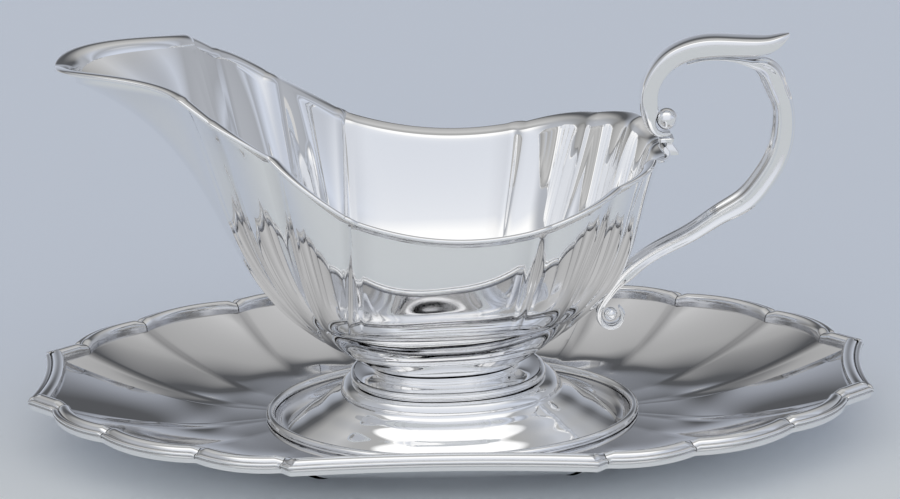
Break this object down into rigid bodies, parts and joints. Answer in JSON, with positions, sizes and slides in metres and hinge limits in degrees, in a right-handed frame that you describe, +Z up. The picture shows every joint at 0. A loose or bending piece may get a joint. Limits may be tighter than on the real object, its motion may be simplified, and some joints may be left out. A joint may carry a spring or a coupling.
{
  "type": "gravy boat with underplate",
  "caption": "Fluted silver gravy boat with a long spout, scroll handle and oval foot, standing in the sunk well of its cut-cornered underplate.",
  "frame": {"origin": "on the table, under the middle of the underplate's flat base", "axes": "+X along the underplate towards the handle, +Z up, +Y to the far side; the boat stands turned 4.3 degrees in its well"},
  "size_m": [0.26, 0.164, 0.1248],
  "materials": {
    "boat_silver": "polished silver",
    "plate_silver": "polished silver"
  },
  "bodies": {
    "plate": {"underplate_dish": "plate_silver", "well_wire": "plate_silver", "border_lobe_01": "plate_silver", "border_lobe_02": "plate_silver", "border_lobe_03": "plate_silver", "border_lobe_04": "plate_silver", "border_lobe_05": "plate_silver", "border_lobe_06": "plate_silver", "border_lobe_07": "plate_silver", "border_lobe_08": "plate_silver", "border_lobe_09": "plate_silver", "border_lobe_10": "plate_silver", "border_lobe_11": "plate_silver", "border_lobe_12": "plate_silver", "border_end_spout": "plate_silver", "border_end_handle": "plate_silver", "border_side_01": "plate_silver", "border_side_02": "plate_silver", "border_side_03": "plate_silver", "border_side_04": "plate_silver", "border_mid_near": "plate_silver", "border_mid_far": "plate_silver"},
    "boat": {"bowl": "boat_silver", "foot": "boat_silver", "foot_collar": "boat_silver", "handle_upper_scroll": "boat_silver", "handle_loop": "boat_silver", "handle_ball": "boat_silver", "handle_bracket": "boat_silver", "handle_eye": "boat_silver"}
  },
  "joints": [
    {"name": "boat_lift", "type": "slide", "parent": "plate", "child": "boat", "axis": [0, 0, 1], "range_m": [0, 0.06]}
  ]
}
